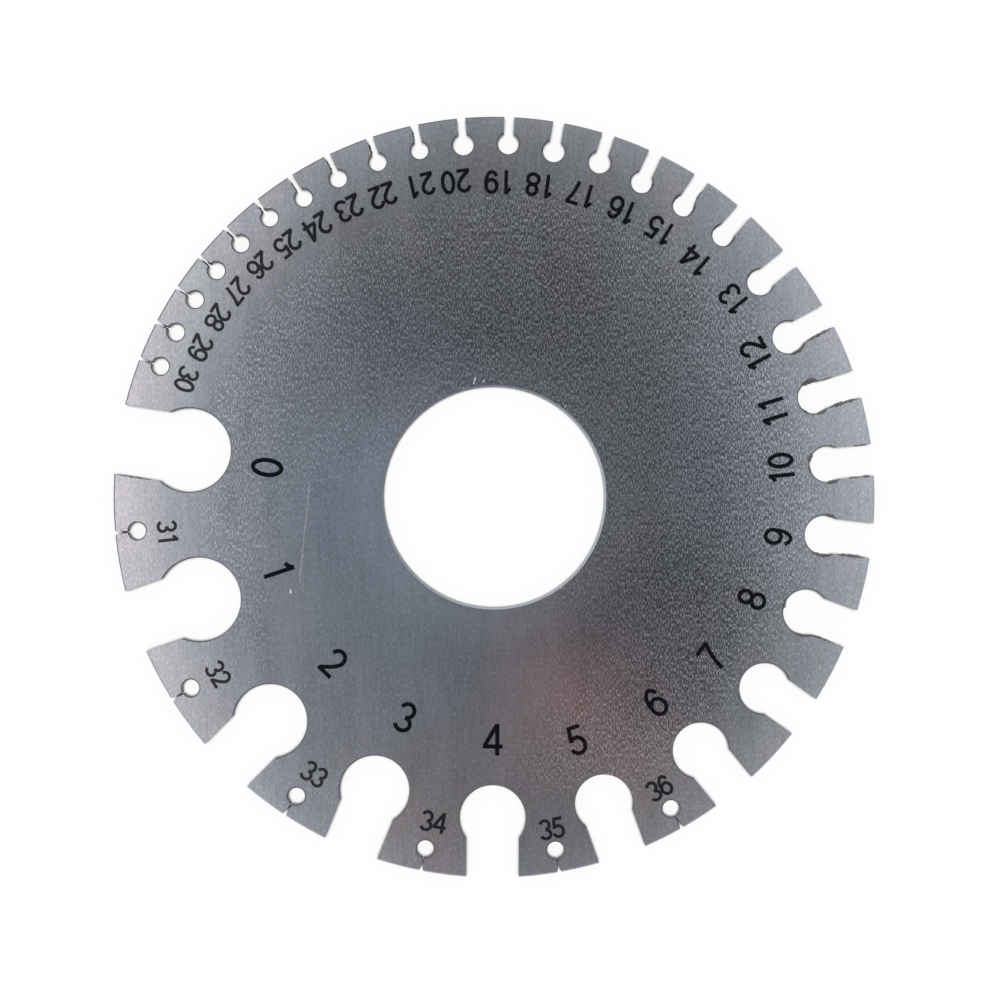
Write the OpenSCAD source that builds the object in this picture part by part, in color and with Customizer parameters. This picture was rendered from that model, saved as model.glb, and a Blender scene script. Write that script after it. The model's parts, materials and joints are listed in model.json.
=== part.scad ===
// Round wire and sheet gauge: a flat steel disc with 37 measuring slots cut in from its rim.
// It lies on its back with the numbered face up. The origin is on the axis of the middle hole, in the back face.
// From gauge 0 a row of slots runs anticlockwise to gauge 30, and gauges 31 to 36 are cut into the six broad lands.

/* [Plate] */
// Outer diameter of the plate
plate_d = 86; // [84:0.5:110]
// Thickness of the steel sheet
plate_t = 1.6; // [1:0.1:3]
// Diameter of the hole in the middle
center_hole_d = 25; // [12:0.5:32]
// Width of the broken edges round the rim
rim_break = 0.15; // [0.05:0.05:0.4]
// Width of the broken edges round the middle hole
center_hole_break = 0.2; // [0.05:0.05:0.4]

/* [Slots] */
// Direction of gauge 0, anticlockwise from +X
first_angle = 171.2; // [0:0.1:359]
// Width of the broken edge round each relief hole
relief_break = 0.12; // [0.05:0.01:0.2]
// Width of the lead-in that opens the finest slots at the rim
lead_in_w = 0.5; // [0.4:0.05:0.9]
// Depth of that lead-in
lead_in_depth = 0.6; // [0.3:0.05:1]

/* [Hidden] */
$fn = 96;
inch = 25.4;
rim_r = plate_d / 2;
bore_r = center_hole_d / 2;
// How far a cutter passes beyond the steel
overrun = 1;

// Last gauge of the row round the rim, and last of all
row_last = 30;
gauge_last = 36;
// First gauge that is fine enough to need a lead-in
lead_in_first = 29;

// Lands between slots: [first gauge of the run, width of the land before its slot], in proportion round the rim
LANDS = [
    [1, 13.4], [2, 12.5], [3, 10.6], [4, 10.3], [5, 9.25], [7, 6.7], [9, 6.1], [10, 5.4],
    [13, 5.25], [15, 4.23], [18, 4.44], [24, 4.14], [27, 3.9], [29, 4.17], [31, 5.34]
];

// Relief holes: [first gauge of the run, drill diameter, depth of the hole's axis below the rim]
RELIEFS = [
    [0, 9.5, 8.1], [1, 9.5, 7.7], [2, 8.4, 7.2], [3, 7.9, 7.2], [4, 7.5, 6.7], [5, 6.6, 6.2],
    [6, 6.4, 6], [7, 5.8, 5.5], [8, 5.2, 5.4], [9, 4.5, 5.4], [10, 4.1, 5.1], [11, 3.7, 5.1],
    [13, 3, 4.3], [14, 2.5, 3.65], [17, 2.5, 3.3], [19, 2.4, 3], [21, 2, 2.9], [25, 1.95, 2.5]
];

// Row of a table of runs that holds for a gauge
function run_of(table, g) =
    let (begun = [for (run = table) if (run[0] <= g) run])
    begun[len(begun) - 1];

// Sum of a list, from its item i on
function total(list, i = 0) = i < len(list) ? list[i] + total(list, i + 1) : 0;

// Slot width of a gauge, by the stepped rule of the standard sheet gauge in parts of an inch
function slot_w(g) = inch * (
    g < 1 ? 20/64
    : g <= 14 ? (19 - g)/64
    : g <= 16 ? (24 - g)/128
    : g <= 20 ? (26 - g)/160
    : g <= 26 ? (32 - g)/320
    : g <= 31 ? (38 - g)/640
    : (45 - g)/1280);

// The lands share out what the slots of the row leave of the rim
rim_length = PI * plate_d;
row_slots = total([for (g = [0 : row_last]) slot_w(g)]);
row_lands = total([for (g = [1 : row_last + 1]) run_of(LANDS, g)[1]]);
land_share = (rim_length - row_slots) / row_lands;
function land_w(g) = land_share * run_of(LANDS, g)[1];

// Way along the rim from the middle of gauge 0 to the middle of a gauge of the row
function row_way(g) = g < 1 ? 0 : row_way(g - 1) + slot_w(g - 1)/2 + land_w(g) + slot_w(g)/2;

// Way to the middle of the land that comes after a gauge of the row
function land_way(g) = row_way(g) + slot_w(g)/2 + land_w(g + 1)/2;

// Direction of a gauge's slot
function slot_angle(g) =
    first_angle + 360/rim_length * (g <= row_last ? row_way(g) : land_way(g - row_last - 1));

// Cutter for a relief hole on the Z axis, with its broken edges on both faces
module relief_cut(d) {
    flare_h = relief_break + overrun;
    flare_d = d + 2 * flare_h;
    translate([0, 0, -overrun])
        cylinder(d = d, h = plate_t + 2 * overrun);
    translate([0, 0, plate_t - relief_break])
        cylinder(d1 = d, d2 = flare_d, h = flare_h);
    translate([0, 0, -overrun])
        cylinder(d1 = flare_d, d2 = d, h = flare_h);
}

// Outline of the wedge that opens a fine slot at the rim
module lead_in() {
    mouth_w = lead_in_w * (lead_in_depth + overrun) / lead_in_depth;
    polygon([
        [rim_r - lead_in_depth, 0],
        [rim_r + overrun, -mouth_w/2],
        [rim_r + overrun, mouth_w/2]
    ]);
}

// Cutter for one gauge: its slot, its relief hole and the lead-in of a fine one
module gauge_cut(g) {
    relief_d = run_of(RELIEFS, g)[1];
    relief_depth = run_of(RELIEFS, g)[2];
    rotate([0, 0, slot_angle(g)]) {
        translate([rim_r - relief_depth, 0, 0])
            relief_cut(relief_d);
        translate([rim_r - relief_depth, -slot_w(g)/2, -overrun])
            cube([relief_depth + overrun, slot_w(g), plate_t + 2 * overrun]);
        if (g >= lead_in_first)
            translate([0, 0, -overrun])
                linear_extrude(plate_t + 2 * overrun)
                    lead_in();
    }
}

// Disc with its middle hole, turned in one section with all edges broken
module blank() {
    rotate_extrude()
        polygon([
            [bore_r + center_hole_break, 0],
            [rim_r - rim_break, 0],
            [rim_r, rim_break],
            [rim_r, plate_t - rim_break],
            [rim_r - rim_break, plate_t],
            [bore_r + center_hole_break, plate_t],
            [bore_r, plate_t - center_hole_break],
            [bore_r, center_hole_break]
        ]);
}

module gauge_plate() {
    color([0.6, 0.61, 0.63])
        difference() {
            blank();
            for (g = [0 : gauge_last])
                gauge_cut(g);
        }
}

gauge_plate();
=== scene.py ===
"""Dresses the gauge plate: its steel finish, gauge numbers, burred slots, and a pale studio."""
import json
import math
import random

import bpy
import bmesh
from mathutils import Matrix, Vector
from mathutils.geometry import delaunay_2d_cdt

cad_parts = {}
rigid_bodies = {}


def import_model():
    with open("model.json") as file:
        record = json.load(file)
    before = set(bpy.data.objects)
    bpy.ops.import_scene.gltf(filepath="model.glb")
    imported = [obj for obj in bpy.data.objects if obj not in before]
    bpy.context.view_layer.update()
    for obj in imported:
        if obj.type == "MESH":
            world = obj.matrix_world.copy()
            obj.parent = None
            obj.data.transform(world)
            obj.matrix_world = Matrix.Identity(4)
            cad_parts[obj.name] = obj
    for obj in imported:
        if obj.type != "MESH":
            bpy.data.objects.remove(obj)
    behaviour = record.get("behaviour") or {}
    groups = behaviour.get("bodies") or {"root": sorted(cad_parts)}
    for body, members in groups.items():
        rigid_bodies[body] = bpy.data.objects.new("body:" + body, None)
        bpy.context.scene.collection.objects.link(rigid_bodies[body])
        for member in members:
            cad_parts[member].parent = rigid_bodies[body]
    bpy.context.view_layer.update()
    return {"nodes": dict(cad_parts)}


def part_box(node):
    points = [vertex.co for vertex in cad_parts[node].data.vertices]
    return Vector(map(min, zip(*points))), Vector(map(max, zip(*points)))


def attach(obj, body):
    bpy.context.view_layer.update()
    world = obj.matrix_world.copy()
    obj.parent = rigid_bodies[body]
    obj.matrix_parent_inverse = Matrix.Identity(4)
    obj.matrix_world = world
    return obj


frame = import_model()

MM = 0.001
INCH = 25.4

# Plate as packed
_, plate_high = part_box("gauge_plate")
FACE_Z = plate_high[2]
RIM_R = plate_high[0] / MM
ROW_LAST = 30
GAUGE_LAST = 36

# Lands and relief holes, as in the part's source: lengths in mm
LANDS = (
    (1, 13.4), (2, 12.5), (3, 10.6), (4, 10.3), (5, 9.25), (7, 6.7), (9, 6.1), (10, 5.4),
    (13, 5.25), (15, 4.23), (18, 4.44), (24, 4.14), (27, 3.9), (29, 4.17), (31, 5.34),
)
RELIEFS = (
    (0, 9.5, 8.1), (1, 9.5, 7.7), (2, 8.4, 7.2), (3, 7.9, 7.2), (4, 7.5, 6.7), (5, 6.6, 6.2),
    (6, 6.4, 6), (7, 5.8, 5.5), (8, 5.2, 5.4), (9, 4.5, 5.4), (10, 4.1, 5.1), (11, 3.7, 5.1),
    (13, 3, 4.3), (14, 2.5, 3.65), (17, 2.5, 3.3), (19, 2.4, 3), (21, 2, 2.9), (25, 1.95, 2.5),
)
FIRST_ANGLE = 171.2

# Numbers: first gauge of the run, height, distance from the centre, shift along the rim, width of a cell
LABELS = (
    (0, 3.75, 25.85, 0.6, 0.6), (1, 3.6, 25.7, -0.2, 0.6), (2, 3.5, 26.0, 0.4, 0.6),
    (3, 3.6, 26.8, 0.1, 0.6), (4, 3.6, 27.4, -0.1, 0.6), (5, 3.5, 29.0, -0.5, 0.6),
    (6, 3.5, 29.5, -0.5, 0.6), (7, 3.4, 30.5, -0.5, 0.6), (8, 3.4, 31.3, -0.7, 0.6),
    (9, 3.3, 32.4, -0.8, 0.6), (10, 2.95, 32.6, 0.0, 0.64), (11, 2.95, 33.0, -0.15, 0.63),
    (12, 2.95, 33.7, 0.0, 0.65), (13, 2.7, 35.1, 0.3, 0.66), (15, 2.7, 35.5, 0.6, 0.66),
    (17, 2.7, 35.6, 0.8, 0.68), (20, 2.7, 35.9, 1.2, 0.66), (21, 2.6, 36.2, 0.7, 0.62),
    (22, 2.6, 36.3, 0.7, 0.58), (23, 2.6, 36.5, 0.4, 0.58), (25, 2.5, 36.9, 0.3, 0.58),
    (26, 2.4, 37.2, 0.2, 0.58), (27, 2.4, 37.2, 0.3, 0.58), (31, 2.3, 37.1, 0.5, 0.6),
    (32, 2.3, 37.0, 0.3, 0.6), (33, 2.4, 37.3, 0.3, 0.6), (35, 2.4, 38.0, 0.0, 0.6),
    (36, 2.4, 37.8, 0.0, 0.6),
)
# Height of the ink over the face, and how far it sinks in, in mm
INK_HEIGHT = 0.012
INK_SUNK = 0.004
# Pen in parts of the height: numbers of two digits, then single digits
PENS = (0.155, 0.133)
# Width of the cell that a digit is drawn in, in parts of the height
DIGIT_WIDTH = 0.6


def run_of(table, gauge):
    """The row of a table of runs that holds for a gauge."""
    return [run for run in table if run[0] <= gauge][-1]


def slot_width(gauge):
    """Slot width in mm, by the stepped rule of the standard sheet gauge."""
    steps = ((0, 20, 64), (14, 19 - gauge, 64), (16, 24 - gauge, 128), (20, 26 - gauge, 160),
             (26, 32 - gauge, 320), (31, 38 - gauge, 640), (GAUGE_LAST, 45 - gauge, 1280))
    parts, whole = next((p, w) for last, p, w in steps if gauge <= last)
    return INCH * parts / whole


def slot_angles():
    """Direction of every slot in degrees: the row round the rim, then the slots on the broad lands."""
    row = range(ROW_LAST + 1)
    rim = 2 * math.pi * RIM_R
    lands = [run_of(LANDS, g + 1)[1] for g in row]
    share = (rim - sum(slot_width(g) for g in row)) / sum(lands)
    ways = [0]
    for g in row[1:]:
        ways.append(ways[-1] + slot_width(g - 1) / 2 + share * lands[g - 1] + slot_width(g) / 2)
    between = range(GAUGE_LAST - ROW_LAST)
    ways += [ways[g] + slot_width(g) / 2 + share * lands[g] / 2 for g in between]
    return [FIRST_ANGLE + 360 * way / rim for way in ways]


SLOT_ANGLES = slot_angles()


# Shader maths
class Value:
    """A shader socket that takes part in sums: each sum on it adds a Math node."""

    def __init__(self, shop, socket):
        self.shop = shop
        self.socket = socket

    def sum(self, operation, first, second, clamp=False):
        settings = {"operation": operation, "use_clamp": clamp}
        return self.shop.node("ShaderNodeMath", settings, {0: first, 1: second})

    def __add__(self, other):
        return self.sum("ADD", self, other)

    __radd__ = __add__

    def __sub__(self, other):
        return self.sum("SUBTRACT", self, other)

    def __rsub__(self, other):
        return self.sum("SUBTRACT", other, self)

    def __mul__(self, other):
        return self.sum("MULTIPLY", self, other)

    __rmul__ = __mul__

    def __truediv__(self, other):
        return self.sum("DIVIDE", self, other)

    def __pow__(self, other):
        return self.sum("POWER", self, other)

    def __abs__(self):
        return self.sum("ABSOLUTE", self, 0)

    def at_most(self, limit):
        return self.sum("MINIMUM", self, limit)

    def at_least(self, limit):
        return self.sum("MAXIMUM", self, limit)

    def clamped(self):
        return self.sum("ADD", self, 0, clamp=True)

    def eased(self, low, high):
        """0 below low, 1 above high, smooth between; low may be the greater one."""
        settings = {"interpolation_type": "SMOOTHSTEP"}
        inputs = {"Value": self, "From Min": low, "From Max": high}
        return self.shop.node("ShaderNodeMapRange", settings, inputs)


class Shop:
    """A node tree that is filled by name: node() makes one node and gives back one of its outputs."""

    def __init__(self, tree):
        self.tree = tree
        tree.nodes.clear()

    def node(self, kind, settings=None, inputs=None, output=0):
        made = self.tree.nodes.new(kind)
        for name, setting in (settings or {}).items():
            setattr(made, name, setting)
        for key, given in (inputs or {}).items():
            if isinstance(given, Value):
                self.tree.links.new(given.socket, made.inputs[key])
            else:
                made.inputs[key].default_value = given
        return Value(self, made.outputs[output])

    def mix(self, share, first, second):
        """Colour between two colours."""
        inputs = {"Factor": share, 6: first, 7: second}
        return self.node("ShaderNodeMix", {"data_type": "RGBA"}, inputs, 2)

    def scaled(self, place, scale):
        return self.node("ShaderNodeVectorMath", {"operation": "MULTIPLY"}, {0: place, 1: scale})

    def noise(self, place, scale, detail=2.0, rough=0.5):
        """Cloudy noise, with the place stretched by a scale for each axis."""
        inputs = {"Vector": self.scaled(place, scale), "Scale": 1.0, "Detail": detail, "Roughness": rough}
        return self.node("ShaderNodeTexNoise", None, inputs)

    def parts(self, vector):
        """The X, Y and Z of a vector."""
        x = self.node("ShaderNodeSeparateXYZ", None, {0: vector})
        outputs = x.socket.node.outputs
        return x, Value(self, outputs[1]), Value(self, outputs[2])

    def close(self, kind, shader):
        end = self.tree.nodes.new(kind)
        self.tree.links.new(shader.socket, end.inputs[0])


def new_material(name):
    material = bpy.data.materials.new(name)
    material.use_nodes = True
    return material, Shop(material.node_tree)


# Patterns of the finishes: changes in a metre along X, Y and Z
SHORT_GRAIN = (11000, 2800, 2500)
LONG_GRAIN = (9500, 1900, 2500)
STREAKS = (5200, 420, 300)
CLOUDS = (90, 60, 60)
SMEARS = (420, 110, 200)
TINTS = (170, 130, 130)
CUT_MARKS = (3500, 3500, 700)
TEARS = (7000, 7000, 3000)
THIN_INK = (9000, 2600, 2500)

# Rings on the plate: distance from its centre where a change starts and where it is whole, in metres
# The next two rings carry a painted highlight on the edge breaks of the centre hole and the rim, stronger
# towards the lower right
HOLE_EDGE_HIGHLIGHT = (0.0160, 0.0135)
RIM_EDGE_HIGHLIGHT = (0.0424, 0.0428)
RUBBED_RIM = (0.030, 0.039)
LIGHT_ROUND_HOLE = (0.0185, 0.0135)
# Ring inside which the face takes a painted blue reflection
REFLECTION_TINT_RING = (0.038, 0.020)

# Areas where the grain is rubbed away, two of them also darkened by painted shade: place, reach from and to
# in mm, how much of the grain is rubbed away, and how much painted shade darkens the face
RUBBED_AND_SHADED = (
    ((-5, -19), 27, 9, 0.8, 0),
    ((-18, -3), 24, 3, 0.35, 0),
    ((-5, 24), 24, 6, 0.1, 0.1),
    ((19, -15), 16, 5, 0.25, 0.13),
)
# Most of the grain that is rubbed away anywhere
MOST_RUBBED = 0.87

# Steel of the face: its mean tone, the lightness of its grain, and the shares of its sharp and soft gloss
SHEET_TONE = 0.54
GRAIN_LIGHT = 1.6
SHARP_ROUGHNESS = 0.10
SOFT_ROUGHNESS = 0.29
SOFT_SHARE = 0.28
COOL_STEEL = (0.84, 0.92, 1.0, 1)
WARM_STEEL = (0.88, 0.905, 1.0, 1)
# Painted blue reflection tint for the middle of the face
BLUE_REFLECTION_TINT = (0.74, 0.833, 1.0, 1)

# Scratches and flecks on the face: both ends, width, and how much lighter, all lengths in mm
MARKS = (
    ((-20.8, 1.9), (-22.0, -9.6), 0.09, 0.25), ((-21.6, 15.5), (-21.5, 13.7), 0.10, 0.25),
    ((-0.5, 32.2), (-0.4, 30.5), 0.08, 0.25), ((22.1, -0.6), (24.1, -0.7), 0.09, 0.25),
    ((-23.0, -10.5), (-22.97, -10.8), 0.16, 1.0), ((-2.1, 13.5), (-2.3, 12.8), 0.13, 1.0),
    ((-1.1, 13.25), (-1.25, 12.95), 0.11, 0.8), ((8.1, 10.4), (8.0, 10.1), 0.10, 0.6),
    ((7.5, -10.1), (7.6, -10.3), 0.10, 0.5), ((-24.5, -4.5), (-23.2, -4.5), 0.13, -0.28),
)


def face_marks(x, y):
    """How much lighter the marks make the face."""
    total = 0
    for (x0, y0), (x1, y1), width, lighter in MARKS:
        run_x, run_y = (x1 - x0) * MM, (y1 - y0) * MM
        length_2 = run_x ** 2 + run_y ** 2
        off_x, off_y = x - x0 * MM, y - y0 * MM
        along = ((off_x * run_x + off_y * run_y) / length_2).clamped()
        gap = ((off_x - along * run_x) ** 2 + (off_y - along * run_y) ** 2) ** 0.5
        total = lighter * gap.eased(width * MM, 0.0) + total
    return total


def distance(x, y, place):
    """Distance from a place on the face, given in mm."""
    return ((x - place[0] * MM) ** 2 + (y - place[1] * MM) ** 2) ** 0.5


def steel():
    """Satin sheet steel: fine upright grain on its faces; edge breaks made lighter, partly by polish and
    partly by a painted highlight stronger towards the lower right; cut walls made dark, partly as rough cut
    steel and partly as painted shade; painted shade on two patches of the face and a painted blue
    reflection in its middle.
    """
    material, shop = new_material("satin_sheet_steel")
    place = shop.node("ShaderNodeTexCoord", output=3)
    x, y, _ = shop.parts(place)
    facing = abs(shop.parts(shop.node("ShaderNodeNewGeometry", output=3))[2])
    face = facing.eased(0.85, 0.97)
    middle = distance(x, y, (0, 0))
    lower_right = x - y
    # Edge breaks made lighter: partly a polished edge, partly a painted highlight that grows towards the
    # lower right
    polish_and_highlight = middle.eased(*HOLE_EDGE_HIGHLIGHT) * (0.4 + 0.6 * lower_right.eased(-0.012, 0.012))
    polish_and_highlight = polish_and_highlight + 0.7 * middle.eased(*RIM_EDGE_HIGHLIGHT) * lower_right.eased(-0.05, 0.0)
    edge_polish_and_highlight = facing.eased(0.4, 0.6) * (1 - face) * (0.15 + polish_and_highlight)

    short = shop.noise(place, SHORT_GRAIN, detail=0.0)
    long = shop.noise(place, LONG_GRAIN, detail=0.0)
    grain = 0.6 * short + 0.4 * long
    speck = grain.eased(0.46, 0.72) - 0.14
    streak = shop.noise(place, STREAKS, detail=1.0) - 0.5
    cloud = shop.noise(place, CLOUDS, detail=3.0) - 0.5
    smear = shop.noise(place, SMEARS, detail=3.0, rough=0.6) - 0.5
    cut = shop.noise(place, CUT_MARKS, detail=3.0, rough=0.65)
    marks = face_marks(x, y) * face

    calm = 0.42 * x.eased(0.010, -0.016) + 0.85 * middle.eased(*RUBBED_RIM)
    # Painted shade: the areas at the top and the lower right also darken the face's tone
    painted_shade = 0
    for spot, far, near, rubbed, painted_darkening in RUBBED_AND_SHADED:
        area = distance(x, y, spot).eased(far * MM, near * MM)
        calm = calm + rubbed * area
        painted_shade = painted_darkening * area + painted_shade
    clear = 1 - calm.at_most(MOST_RUBBED)

    sheet = SHEET_TONE + GRAIN_LIGHT * clear * speck + 0.2 * streak + 0.12 * cloud + 0.1 * smear
    sheet = sheet + 0.5 * marks + 0.1 * middle.eased(*LIGHT_ROUND_HOLE) - painted_shade
    # Cut walls take a dark tone, partly rough cut steel and partly painted shade of the slots and holes
    shade = sheet * face + (0.05 + 0.17 * cut) * (1 - face) + 0.4 * edge_polish_and_highlight
    tint = shop.noise(place, TINTS, detail=2.0).eased(0.35, 0.65)
    hue = shop.mix(tint, COOL_STEEL, WARM_STEEL)
    # Painted reflection: the middle of the face is tinted blue
    hue = shop.mix(0.6 * middle.eased(*REFLECTION_TINT_RING), hue, BLUE_REFLECTION_TINT)
    tone = shop.mix(shade.clamped(), (0, 0, 0, 1), hue)
    relief = clear * grain * face + cut * (1 - face)
    normal = shop.node("ShaderNodeBump", None, {"Strength": 0.06, "Distance": 0.00003, "Height": relief})
    rough = (SHARP_ROUGHNESS + 0.05 * smear + 0.4 * marks) * face + (0.42 + 0.2 * cut) * (1 - face)
    sharp = shop.node("ShaderNodeBsdfPrincipled", None, {
        "Base Color": tone, "Metallic": 1.0, "Roughness": rough, "Normal": normal})
    soft = shop.node("ShaderNodeBsdfPrincipled", None, {
        "Base Color": tone, "Metallic": 1.0, "Roughness": SOFT_ROUGHNESS, "Normal": normal})
    shader = shop.node("ShaderNodeMixShader", None, {0: SOFT_SHARE, 1: sharp, 2: soft})
    shop.close("ShaderNodeOutputMaterial", shader)
    return material


def burr_steel():
    """Torn steel at the edge of a cut: dark and rough."""
    material, shop = new_material("torn_steel")
    place = shop.node("ShaderNodeTexCoord", output=3)
    tear = shop.noise(place, TEARS, detail=3.0, rough=0.7)
    tone = shop.mix(tear.eased(0.3, 0.75), (0.05, 0.05, 0.055, 1), (0.36, 0.37, 0.39, 1))
    normal = shop.node("ShaderNodeBump", None, {"Strength": 0.8, "Distance": 0.00004, "Height": tear})
    shader = shop.node("ShaderNodeBsdfPrincipled", None, {
        "Base Color": tone, "Metallic": 0.7, "Roughness": 0.45 + 0.3 * tear, "Normal": normal})
    shop.close("ShaderNodeOutputMaterial", shader)
    return material


def ink():
    """Black mark etched into the face, a little thin in places."""
    material, shop = new_material("black_mark")
    place = shop.node("ShaderNodeTexCoord", output=3)
    x, y, _ = shop.parts(place)
    thin = shop.noise(place, THIN_INK, detail=2.0, rough=0.6)
    # The ink is paler towards the left and towards the rim
    paler_outward = 0.25 + 0.75 * x.eased(-0.006, -0.036) + 0.35 * y.eased(-0.020, -0.036)
    paler_outward = (paler_outward * distance(x, y, (0, 0)).eased(0.024, 0.038)) ** 2
    tone = shop.mix(paler_outward.clamped(), (0.0035, 0.0045, 0.008, 1), (0.045, 0.048, 0.058, 1))
    tone = shop.mix(thin.eased(0.52, 0.85), tone, (0.045, 0.048, 0.056, 1))
    shader = shop.node("ShaderNodeBsdfPrincipled", None, {
        "Base Color": tone, "Roughness": 0.48 + 0.2 * thin, "Specular IOR Level": 0.05})
    shop.close("ShaderNodeOutputMaterial", shader)
    return material


def arc(center, radii, start, end, steps=14):
    """Points along part of an ellipse, from one angle to the other in degrees."""
    turns = [math.radians(start + (end - start) * i / steps) for i in range(steps + 1)]
    return [(center[0] + radii[0] * math.cos(t), center[1] + radii[1] * math.sin(t)) for t in turns]


def bend(start, pull, end, steps=8):
    """Points along a curve from start to end, drawn towards pull."""
    shares = [i / steps for i in range(steps + 1)]
    return [tuple((1 - s) ** 2 * a + 2 * s * (1 - s) * p + s * s * b for a, p, b in zip(start, pull, end))
            for s in shares]


def loop(center, radii, steps=26):
    return arc(center, radii, 0, 360, steps)


def half_turn(strokes):
    """The strokes of a digit turned upside down."""
    return [[(DIGIT_WIDTH - px, 1 - py) for px, py in stroke] for stroke in strokes]


SIX = [loop((0.30, 0.335), (0.23, 0.265)), arc((0.31, 0.48), (0.24, 0.45), 188, 36)]
TWO_TOP = arc((0.30, 0.68), (0.23, 0.25), 172, -28)

# Pen strokes of each digit in a cell 1 high
DIGITS = (
    [loop((0.30, 0.5), (0.225, 0.43))],
    [bend((0.16, 0.76), (0.30, 0.83), (0.37, 0.98)), [(0.37, 1.0), (0.37, 0.0)]],
    [TWO_TOP + bend(TWO_TOP[-1], (0.40, 0.36), (0.07, 0.10))[1:], [(0.02, 0.07), (0.56, 0.07)]],
    [arc((0.29, 0.71), (0.215, 0.22), 162, -90), arc((0.29, 0.28), (0.235, 0.21), 90, -165)],
    [[(0.45, 0.97), (0.06, 0.31)], [(0.01, 0.29), (0.63, 0.29)], [(0.46, 1.0), (0.46, 0.0)]],
    [[(0.12, 0.93), (0.53, 0.93)], [(0.17, 0.98), (0.11, 0.47)],
     arc((0.29, 0.33), (0.235, 0.265), 144, -162)],
    SIX,
    [[(0.03, 0.93), (0.57, 0.93)], bend((0.53, 0.93), (0.30, 0.58), (0.20, 0.0))],
    [loop((0.30, 0.72), (0.20, 0.21)), loop((0.30, 0.285), (0.235, 0.215))],
    half_turn(SIX),
)


def stroke_sides(stroke, pen):
    """The two edges of a pen stroke."""
    points = [Vector(point) for point in stroke]
    left, right = [], []
    for i, point in enumerate(points):
        way = (points[min(i + 1, len(points) - 1)] - points[max(i - 1, 0)]).normalized()
        out = Vector((-way.y, way.x)) * pen / 2
        left.append(point + out)
        right.append(point - out)
    return left, right


def stroke_outlines(stroke, pen):
    """Flat outlines that cover a pen stroke: quads round a closed loop, or one outline with square ends."""
    if (Vector(stroke[0]) - Vector(stroke[-1])).length < 1e-6:
        points = [Vector(point) for point in stroke[:-1]]
        middle = sum(points, Vector((0, 0))) / len(points)
        rings = []
        for reach in (pen / 2, -pen / 2):
            ring = []
            for i, point in enumerate(points):
                way = (points[(i + 1) % len(points)] - points[i - 1]).normalized()
                out = Vector((way.y, -way.x))
                out = out if out.dot(point - middle) > 0 else -out
                ring.append(point + out * reach)
            rings.append(ring)
        outer, inner = rings
        return [[outer[i - 1], outer[i], inner[i], inner[i - 1]] for i in range(len(points))]
    left, right = stroke_sides(stroke, pen)
    return [right + left[::-1]]


def digit_mesh(name, number, pen):
    """One digit as a flat closed solid, 1 high and 1 thick."""
    corners, outlines = [], []
    for stroke in DIGITS[number]:
        for outline in stroke_outlines(stroke, pen):
            outlines.append(list(range(len(corners), len(corners) + len(outline))))
            corners += outline
    flat, _, faces, _, _, sources = delaunay_2d_cdt(corners, [], outlines, 0, 1e-6)
    inked = [face for face, source in zip(faces, sources) if source]
    form = bmesh.new()
    low = [form.verts.new((p.x, p.y, 0)) for p in flat]
    high = [form.verts.new((p.x, p.y, 1)) for p in flat]
    for face in inked:
        form.faces.new([high[i] for i in face])
        form.faces.new([low[i] for i in reversed(face)])
    sides = {(face[i - 1], face[i]) for face in inked for i in range(len(face))}
    for a, b in sides:
        if (b, a) not in sides:
            form.faces.new([low[a], low[b], high[b], high[a]])
    bmesh.ops.delete(form, geom=[v for v in form.verts if not v.link_faces], context="VERTS")
    bmesh.ops.recalc_face_normals(form, faces=form.faces)
    mesh = bpy.data.meshes.new(name)
    form.to_mesh(mesh)
    form.free()
    return bpy.data.objects.new(name, mesh)


def number_places():
    """Place, turn, height and shape of every digit on the face; digits stand with their feet to the rim."""
    places = []
    for gauge in range(GAUGE_LAST + 1):
        _, height, radius, shift, cell = run_of(LABELS, gauge)
        angle = math.radians(SLOT_ANGLES[gauge]) + shift / radius
        digits = [int(letter) for letter in str(gauge)]
        start = -DIGIT_WIDTH / 2 - cell * (len(digits) - 1) / 2
        up = Vector((-math.cos(angle), -math.sin(angle)))
        along = Vector((-math.sin(angle), math.cos(angle)))
        middle = Vector((math.cos(angle), math.sin(angle))) * radius
        first_shape = len(DIGITS) if len(digits) == 1 else 0
        for digit in digits:
            corner = middle + (along * start - up * 0.5) * height
            places.append((corner, angle + math.pi / 2, height, first_shape + digit))
            start += cell
    return places


def add_attribute(mesh, name, kind, values):
    attribute = mesh.attributes.new(name, kind, "POINT")
    for slot, given in zip(attribute.data, values):
        slot.value = given


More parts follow.
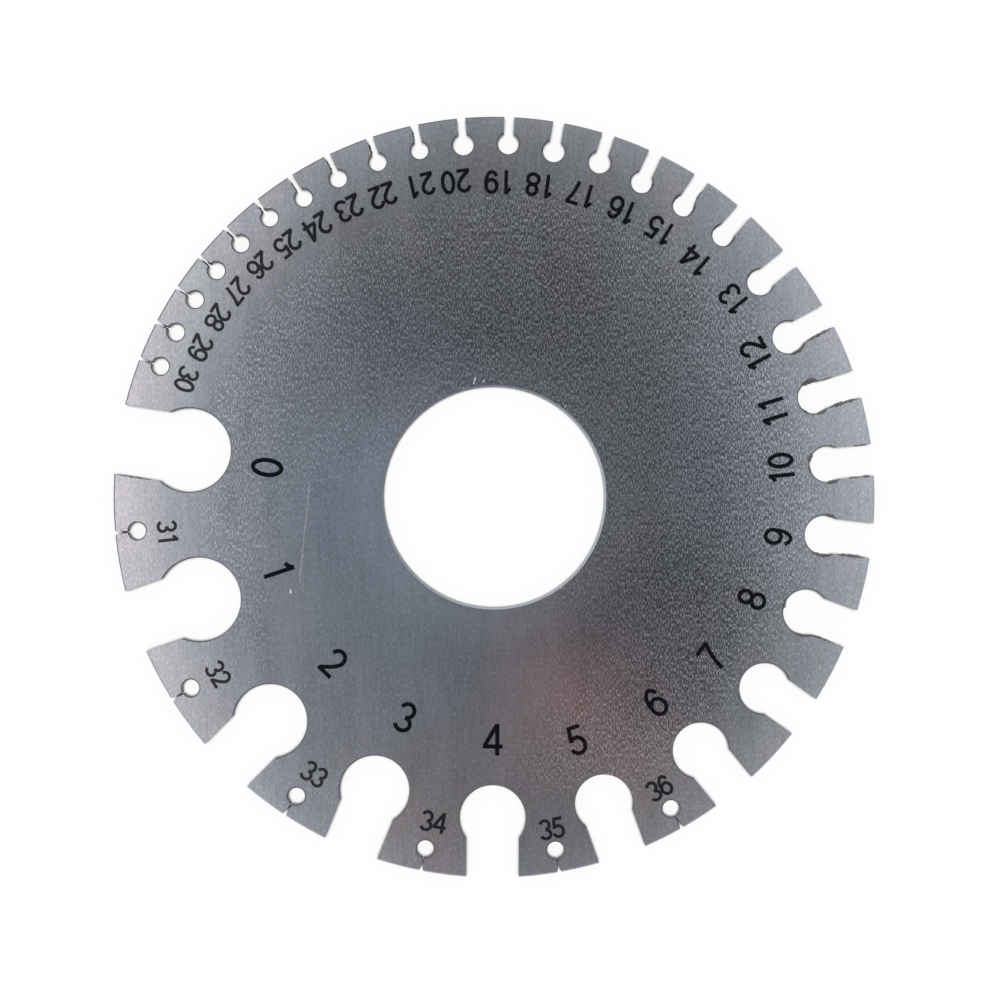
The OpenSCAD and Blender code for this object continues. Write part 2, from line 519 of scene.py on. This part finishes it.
def number_tree(material, digits):
    """Geometry Nodes that set a digit on each point, turned and sized by the point's own attributes."""
    tree = bpy.data.node_groups.new("stamped_numbers", "GeometryNodeTree")
    tree.interface.new_socket("Geometry", in_out="INPUT", socket_type="NodeSocketGeometry")
    thickness = tree.interface.new_socket("Ink thickness", in_out="INPUT", socket_type="NodeSocketFloat")
    tree.interface.new_socket("Geometry", in_out="OUTPUT", socket_type="NodeSocketGeometry")
    shop = Shop(tree)
    attribute = "GeometryNodeInputNamedAttribute"
    turn = shop.node(attribute, {"data_type": "FLOAT"}, {"Name": "turn"}, "Attribute")
    tall = shop.node(attribute, {"data_type": "FLOAT"}, {"Name": "tall"}, "Attribute")
    digit = shop.node(attribute, {"data_type": "INT"}, {"Name": "digit"}, "Attribute")
    points = shop.node("NodeGroupInput", output="Geometry")
    deep = shop.node("NodeGroupInput", output="Ink thickness")
    spin = shop.node("ShaderNodeCombineXYZ", None, {"Z": turn})
    rotation = shop.node("FunctionNodeEulerToRotation", None, {0: spin})
    size = shop.node("ShaderNodeCombineXYZ", None, {"X": tall, "Y": tall, "Z": deep})
    shapes = shop.node("GeometryNodeCollectionInfo", None, {
        "Collection": digits, "Separate Children": True, "Reset Children": True})
    stamped = shop.node("GeometryNodeInstanceOnPoints", None, {
        "Points": points, "Instance": shapes, "Pick Instance": True,
        "Instance Index": digit, "Rotation": rotation, "Scale": size})
    real = shop.node("GeometryNodeRealizeInstances", None, {"Geometry": stamped})
    inked = shop.node("GeometryNodeSetMaterial", None, {"Geometry": real, "Material": material})
    shop.close("NodeGroupOutput", inked)
    return tree, thickness.identifier


def finished(name, mesh):
    """A piece of the plate at the origin, riding on its one body."""
    piece = bpy.data.objects.new(name, mesh)
    bpy.context.scene.collection.objects.link(piece)
    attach(piece, "root")
    return piece


def gauge_numbers(material):
    """All gauge numbers as one thin mark on the face."""
    places = number_places()
    z = FACE_Z - INK_SUNK * MM
    points = bpy.data.meshes.new("number_points")
    points.from_pydata([(p.x * MM, p.y * MM, z) for p, _, _, _ in places], [], [])
    add_attribute(points, "turn", "FLOAT", [turn for _, turn, _, _ in places])
    add_attribute(points, "tall", "FLOAT", [height * MM for _, _, height, _ in places])
    add_attribute(points, "digit", "INT", [digit for _, _, _, digit in places])
    digits = bpy.data.collections.new("digits")
    for pen in PENS:
        for number in range(len(DIGITS)):
            digits.objects.link(digit_mesh(f"digit_{len(digits.objects):02d}", number, pen))

    carrier = bpy.data.objects.new("number_carrier", points)
    bpy.context.scene.collection.objects.link(carrier)
    tree, thickness = number_tree(material, digits)
    stamp = carrier.modifiers.new("numbers", "NODES")
    stamp.node_group = tree
    stamp[thickness] = (INK_HEIGHT + INK_SUNK) * MM
    graph = bpy.context.evaluated_depsgraph_get()
    mesh = bpy.data.meshes.new_from_object(carrier.evaluated_get(graph))
    carrier.modifiers.remove(stamp)
    bpy.data.objects.remove(carrier)
    for part in list(digits.objects):
        bpy.data.objects.remove(part)
    bpy.data.collections.remove(digits)
    return finished("gauge_numbers", mesh)


# Burrs: gauge, side of the slot (1 anticlockwise, -1 clockwise), start and end below the rim, reach in mm
BURRS = (
    (0, 1, 0.3, 4.6, 0.12), (8, -1, 1.2, 4.1, 0.18), (9, -1, 0.5, 3.9, 0.22), (10, -1, 0.4, 1.5, 0.18),
    (10, -1, 1.6, 3.0, 0.14), (10, 1, 0.4, 2.2, 0.14), (11, -1, 0.3, 4.0, 0.24), (11, 1, 2.4, 3.9, 0.12),
    (12, -1, 0.2, 4.0, 0.22), (15, -1, 1.0, 2.7, 0.22),
    (21, 1, 0.2, 2.1, 0.20), (22, 1, 0.2, 2.1, 0.22), (23, 1, 0.2, 2.1, 0.18), (24, 1, 0.3, 2.1, 0.16),
    (25, 1, 0.5, 1.7, 0.22), (25, -1, 1.0, 1.7, 0.20), (26, 1, 0.2, 1.7, 0.24), (27, 1, 0.3, 1.7, 0.24),
    (27, -1, 0.9, 1.7, 0.20), (28, 1, 0.4, 1.7, 0.20), (28, -1, 0.9, 1.7, 0.18),
    (29, 1, 0.6, 1.7, 0.18), (29, -1, 0.6, 1.7, 0.18), (30, 1, 0.5, 1.7, 0.16), (30, -1, 0.5, 1.7, 0.16),
    (31, 1, 0.5, 1.7, 0.14), (31, -1, 0.5, 1.7, 0.14), (32, 1, 0.4, 1.7, 0.13), (32, -1, 0.4, 1.7, 0.13),
    (33, 1, 0.4, 1.7, 0.12), (33, -1, 0.4, 1.7, 0.12), (34, 1, 0.4, 1.7, 0.11), (34, -1, 0.4, 1.7, 0.11),
    (35, 1, 0.4, 1.7, 0.10), (35, -1, 0.4, 1.7, 0.10), (36, 1, 0.4, 1.7, 0.09), (36, -1, 0.4, 1.7, 0.09),
)
# Teeth on the relief holes: gauge, from and to angle round the hole from the slot's direction, reach in mm
TEETH = (
    (8, 168, 194, 0.26), (8, -104, -60, 0.16), (9, 64, 95, 0.14), (9, -122, -63, 0.18),
    (10, 138, 172, 0.26), (10, 176, 206, 0.15), (10, -98, -62, 0.20),
    (11, 61, 120, 0.32), (11, 200, 238, 0.15), (11, -98, -61, 0.18), (12, -112, -50, 0.18),
    (13, 60, 130, 0.16), (14, -125, -54, 0.18), (14, 54, 110, 0.14), (15, -130, -47, 0.20),
    (15, 47, 120, 0.18), (16, -125, -60, 0.16),
)
# Step along a torn lip, how deep it is rooted in the steel, and the broken edge of a relief hole, in mm
BURR_STEP = 0.12
BURR_ROOT = 0.03
RELIEF_BREAK = 0.12
BURR_SEED = 7
# Least and greatest lean and spread in parts of the reach, and depth of the tip in parts of the thickness
LIP_LEAN = (0.55, 1.1)
LIP_SPREAD = (0.1, 0.9)
LIP_DEPTH = (0.45, 0.7)
# Drop of a fine slot's lip below the face, height of a lip's foot, and how far it clears the wall, in mm
LIP_DROP = (0.02, 0.1)
LIP_FOOT = 0.3
LIP_CLEAR = 0.01
# Last gauge whose torn edges also spread over the face, and how far they stand up there
SPREAD_LAST = 12
SPREAD_HEIGHT = 0.008


def wall_line(burr):
    """Points down a slot's wall, each with the direction out of the steel, in the slot's own axes."""
    gauge, side, start, end, _ = burr
    count = max(4, round((end - start) / BURR_STEP))
    depths = [start + (end - start) * i / count for i in range(count + 1)]
    return [((RIM_R - depth, side * slot_width(gauge) / 2), (0, -side)) for depth in depths]


def hole_line(tooth):
    """Points round a relief hole's wall, each with the direction out of the steel, in the slot's axes."""
    gauge, first, last, _ = tooth
    _, drill, depth = run_of(RELIEFS, gauge)
    count = max(4, round(math.radians(last - first) * drill / 2 / BURR_STEP))
    turns = [math.radians(first + (last - first) * i / count) for i in range(count + 1)]
    ways = [(math.cos(t), math.sin(t)) for t in turns]
    return [((RIM_R - depth + drill / 2 * wx, drill / 2 * wy), (-wx, -wy)) for wx, wy in ways]


def add_lip(form, gauge, line, reach, edge, draw):
    """A torn lip that leans out of a wall, along a line; on a coarse slot it spreads over the face."""
    angle = math.radians(SLOT_ANGLES[gauge])
    thick = FACE_Z / MM
    last = len(line) - 1
    rings = []
    for i, ((along, across), (out_x, out_y)) in enumerate(line):
        taper = min(1, 4 * i / last, 4 * (1 - i / last))
        lean = reach * taper * draw.uniform(*LIP_LEAN)
        deep = thick * draw.uniform(*LIP_DEPTH)
        back = BURR_ROOT + reach * taper * draw.uniform(*LIP_SPREAD)
        top = thick + SPREAD_HEIGHT
        if gauge > SPREAD_LAST:
            back = BURR_ROOT
            top = thick - edge - draw.uniform(*LIP_DROP)
        section = ((-edge - back, top), (-edge, top), (LIP_CLEAR, top - edge), (lean, deep),
                   (-BURR_ROOT, deep - LIP_FOOT))
        ring = []
        for reached, up in section:
            px, py = along + out_x * reached, across + out_y * reached
            turned_x = px * math.cos(angle) - py * math.sin(angle)
            turned_y = px * math.sin(angle) + py * math.cos(angle)
            ring.append(form.verts.new(Vector((turned_x, turned_y, up)) * MM))
        rings.append(ring)
    for near, far in zip(rings, rings[1:]):
        for i in range(len(near)):
            form.faces.new((near[i - 1], near[i], far[i], far[i - 1]))
    form.faces.new(rings[0])
    form.faces.new(reversed(rings[-1]))


def slot_burrs(material):
    """All torn lips as one piece."""
    draw = random.Random(BURR_SEED)
    form = bmesh.new()
    for burr in BURRS:
        add_lip(form, burr[0], wall_line(burr), burr[-1], 0, draw)
    for tooth in TEETH:
        add_lip(form, tooth[0], hole_line(tooth), tooth[-1], RELIEF_BREAK, draw)
    bmesh.ops.recalc_face_normals(form, faces=form.faces)
    bmesh.ops.triangulate(form, faces=form.faces)
    mesh = bpy.data.meshes.new("slot_burrs")
    form.to_mesh(mesh)
    form.free()
    mesh.materials.append(material)
    return finished("slot_burrs", mesh)


# Studio
FLOOR_HALF = 0.6
FLOOR_DROP = 0.00005
VIEW_HEIGHT = 0.30
FRAME_WIDTH = 0.112955
FRAME_MIDDLE = (0.000672, -0.000316)
SENSOR_WIDTH = 36
# Reach of the painted contact shadow under the steel's edge and of the painted soft shadow, and how light
# they leave the floor
CONTACT_REACH = 0.0003
SHADOW_REACH = 0.003
CONTACT_LEVEL = 0.1
SHADOW_LEVEL = 0.93
PAPER_LEVEL = 0.85


def grey(level):
    return (level, level, level, 1)


def seen_directly(shop):
    """1 on rays from the camera, and on those that a gloss or a glass passes on."""
    rays = [shop.node("ShaderNodeLightPath", output=name)
            for name in ("Is Camera Ray", "Is Glossy Ray", "Is Transmission Ray")]
    return (rays[0] + rays[1] + rays[2]).clamped()


def floor():
    """White sheet under the plate, with its soft shadow and the dark contact shadow where the steel meets
    it, both painted into its glow from ambient occlusion.
    """
    material, shop = new_material("white_sheet")
    around = "ShaderNodeAmbientOcclusion"
    contact_shadow = shop.node(around, {"samples": 3}, {"Distance": CONTACT_REACH}, "AO")
    shadow = shop.node(around, {"samples": 3}, {"Distance": SHADOW_REACH}, "AO")
    lit = shop.mix(shadow, grey(SHADOW_LEVEL), grey(1))
    shade = shop.mix(contact_shadow.eased(0.25, 0.95), grey(CONTACT_LEVEL), lit)
    glow = shop.node("ShaderNodeEmission", None, {"Color": shade})
    paper = shop.node("ShaderNodeBsdfDiffuse", None, {"Color": grey(PAPER_LEVEL)})
    shader = shop.node("ShaderNodeMixShader", None, {0: seen_directly(shop), 1: paper, 2: glow})
    shop.close("ShaderNodeOutputMaterial", shader)
    mesh = bpy.data.meshes.new("floor")
    signs = ((-1, -1), (1, -1), (1, 1), (-1, 1))
    corners = [(sx * FLOOR_HALF, sy * FLOOR_HALF, -FLOOR_DROP) for sx, sy in signs]
    mesh.from_pydata(corners, [], [range(4)])
    mesh.materials.append(material)
    sheet = bpy.data.objects.new("floor", mesh)
    bpy.context.scene.collection.objects.link(sheet)


# Tent: slope away from straight up where each part starts and where it is whole
OPENING_EDGE = (0.095, 0.165)
BEYOND_EDGE = (0.18, 0.4)
HORIZON = (0.5, 1.6)
LEFT_EDGE = (-0.09, -0.14)
DIM_SKY = (0.76, 0.94, 1.08, 1)
EDGE_WHITE = (1.08, 1.0, 0.97, 1)
LEFT_WHITE = (1.16, 1.0, 0.95, 1)
FAR_WHITE = (1.04, 1.0, 0.96, 1)

# Pools of light in the tent's opening: place across and up, reach from and to, level, colour
POOLS = (
    (-0.05, 0.0, 0.075, 0.015, 0.10, (0.65, 0.92, 1.08, 1)),
    (-0.015, -0.06, 0.060, 0.015, 0.09, (0.69, 0.93, 1.05, 1)),
    (0.028, -0.075, 0.040, 0.010, 0.09, (3.0, 0.85, 0.5, 1)),
    (0.052, -0.100, 0.036, 0.008, 0.05, (2.3, 0.85, 0.60, 1)),
    (-0.03, -0.12, 0.035, 0.010, 0.03, (1.75, 0.90, 0.80, 1)),
)


def tent():
    """Light tent all round, with a dim opening overhead that widens up and down, brighter on the left."""
    world = bpy.data.worlds.new("light_tent")
    bpy.context.scene.world = world
    world.use_nodes = True
    shop = Shop(world.node_tree)
    x, y, z = shop.parts(shop.node("ShaderNodeTexCoord", output=0))
    lift = z.at_least(0.05)
    across = x / lift
    upward = y / lift
    tall = upward * (0.77 + 0.05 * upward.eased(0.0, 0.05))
    away = (across ** 2 + tall ** 2) ** 0.5
    edge = away.eased(*OPENING_EDGE)
    beyond = away.eased(*BEYOND_EDGE)
    horizon = away.eased(*HORIZON)
    left = across.eased(*LEFT_EDGE)

    level = 0.01 + 0.13 * across.eased(0.0, -0.06) * (1 - 0.4 * upward.eased(0.0, 0.07))
    level = level + 0.2 * across.eased(0.06, 0.13) * upward.eased(-0.06, 0.02)
    level = level + edge * (1.05 + 0.5 * left) * (1 - 0.75 * beyond)
    level = level + horizon * (0.45 + 0.15 * (y - x))
    white = shop.mix(left, EDGE_WHITE, LEFT_WHITE)
    color = shop.mix(edge, DIM_SKY, white)
    color = shop.mix(beyond, color, FAR_WHITE)
    for pool_across, pool_up, far, near, strength, pool_color in POOLS:
        pool = (((across - pool_across) ** 2 + (upward - pool_up) ** 2) ** 0.5).eased(far, near)
        level = level + strength * pool
        color = shop.mix(pool, color, pool_color)
    light = shop.node("ShaderNodeBackground", None, {"Color": color, "Strength": level})
    backdrop = shop.node("ShaderNodeBackground", None, {"Color": grey(1), "Strength": 1.0})
    camera_ray = shop.node("ShaderNodeLightPath", output="Is Camera Ray")
    shader = shop.node("ShaderNodeMixShader", None, {0: camera_ray, 1: light, 2: backdrop})
    shop.close("ShaderNodeOutputWorld", shader)


def camera():
    """Camera straight above the plate, framed as pictured."""
    lens = bpy.data.cameras.new("camera")
    lens.sensor_width = SENSOR_WIDTH
    lens.lens = lens.sensor_width * VIEW_HEIGHT / FRAME_WIDTH
    lens.clip_start = 0.01
    eye = bpy.data.objects.new("camera", lens)
    eye.location = (*FRAME_MIDDLE, FACE_Z + VIEW_HEIGHT)
    bpy.context.scene.collection.objects.link(eye)
    bpy.context.scene.camera = eye


def dress_plate():
    plate = frame["nodes"]["gauge_plate"]
    finish = steel()
    for slot in plate.material_slots:
        slot.material = finish
    gauge_numbers(ink())
    slot_burrs(burr_steel())


bpy.context.scene.view_settings.view_transform = "Standard"
dress_plate()
floor()
tent()
camera()
